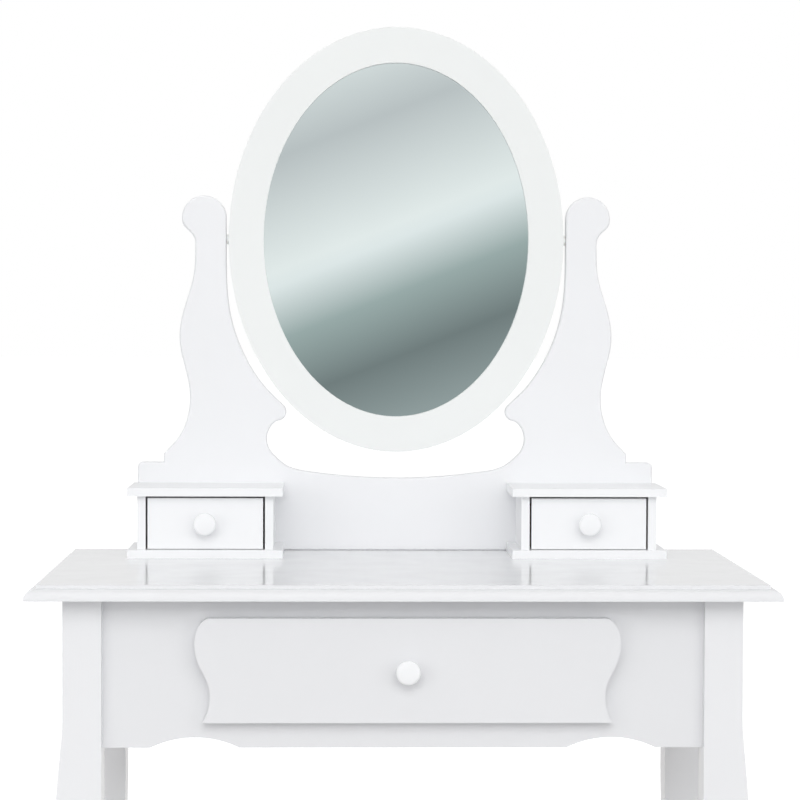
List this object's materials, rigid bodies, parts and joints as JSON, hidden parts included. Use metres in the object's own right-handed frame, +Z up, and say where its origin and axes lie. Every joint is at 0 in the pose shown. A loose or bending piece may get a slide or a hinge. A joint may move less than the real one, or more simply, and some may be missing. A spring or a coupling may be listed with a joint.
{
  "type": "dressing table with mirror",
  "caption": "White dressing table with an oval tilting mirror on a scrolled stand, two small drawer cabinets, a wide drawer and curved legs.",
  "frame": {"origin": "on the floor, under the middle of the table's bounding box", "axes": "+X to the sitter's right, +Y to the back, +Z up; the wide drawer opens towards -Y"},
  "size_m": [0.75, 0.4, 1.352],
  "materials": {
    "white_paint": "white satin paint on MDF and solid wood",
    "drawer_wood": "clear sealed pine, unpainted inside the carcass",
    "hardboard": "smooth brown hardboard",
    "beech": "fluted beech dowel, modelled smooth",
    "mirror": "silvered float glass",
    "zinc_steel": "zinc plated steel",
    "white_nylon": "moulded white nylon"
  },
  "bodies": {
    "table": {"apron_dowels": "beech", "base_screws": "zinc_steel", "cabinet_dowels": "beech", "cam_bolts": "zinc_steel", "cam_locks": "zinc_steel", "foot_glides": "white_nylon", "front_apron": "white_paint", "front_left_leg": "white_paint", "front_right_leg": "white_paint", "left_apron": "white_paint", "left_cabinet_base": "white_paint", "left_cabinet_inner_side": "white_paint", "left_cabinet_outer_side": "white_paint", "left_cabinet_top": "white_paint", "left_drawer_rail": "drawer_wood", "left_runner": "white_nylon", "mirror_stand": "white_paint", "rear_apron": "white_paint", "rear_left_leg": "white_paint", "rear_right_leg": "white_paint", "right_apron": "white_paint", "right_cabinet_base": "white_paint", "right_cabinet_inner_side": "white_paint", "right_cabinet_outer_side": "white_paint", "right_cabinet_top": "white_paint", "right_drawer_rail": "drawer_wood", "right_runner": "white_nylon", "short_screws": "zinc_steel", "table_top": "white_paint", "top_brackets": "zinc_steel"},
    "wide_drawer": {"wide_drawer_back": "drawer_wood", "wide_drawer_bottom": "hardboard", "wide_drawer_dowels": "beech", "wide_drawer_front": "white_paint", "wide_drawer_knob": "white_paint", "wide_drawer_knob_screw": "zinc_steel", "wide_drawer_left_side": "drawer_wood", "wide_drawer_right_side": "drawer_wood", "wide_drawer_screws": "zinc_steel"},
    "left_drawer": {"left_drawer_back": "drawer_wood", "left_drawer_bottom": "hardboard", "left_drawer_front": "white_paint", "left_drawer_inner_side": "drawer_wood", "left_drawer_knob": "white_paint", "left_drawer_knob_screw": "zinc_steel", "left_drawer_outer_side": "drawer_wood"},
    "right_drawer": {"right_drawer_back": "drawer_wood", "right_drawer_bottom": "hardboard", "right_drawer_front": "white_paint", "right_drawer_inner_side": "drawer_wood", "right_drawer_knob": "white_paint", "right_drawer_knob_screw": "zinc_steel", "right_drawer_outer_side": "drawer_wood"},
    "mirror": {"mirror_frame": "white_paint", "mirror_glass": "mirror", "mirror_backing": "hardboard", "backing_pins": "zinc_steel", "pivot_inserts": "zinc_steel", "pivot_bolts": "zinc_steel", "pivot_washers": "white_nylon"}
  },
  "joints": [
    {"name": "wide_drawer_slide", "type": "slide", "parent": "table", "child": "wide_drawer", "axis": [0, -1, 0], "range_m": [0, 0.22]},
    {"name": "left_drawer_slide", "type": "slide", "parent": "table", "child": "left_drawer", "axis": [0, -1, 0], "range_m": [0, 0.06]},
    {"name": "right_drawer_slide", "type": "slide", "parent": "table", "child": "right_drawer", "axis": [0, -1, 0], "range_m": [0, 0.06]},
    {"name": "mirror_tilt", "type": "hinge", "parent": "table", "child": "mirror", "pos_m": [0, 0.192, 1.112], "axis": [1, 0, 0], "continuous": true}
  ]
}
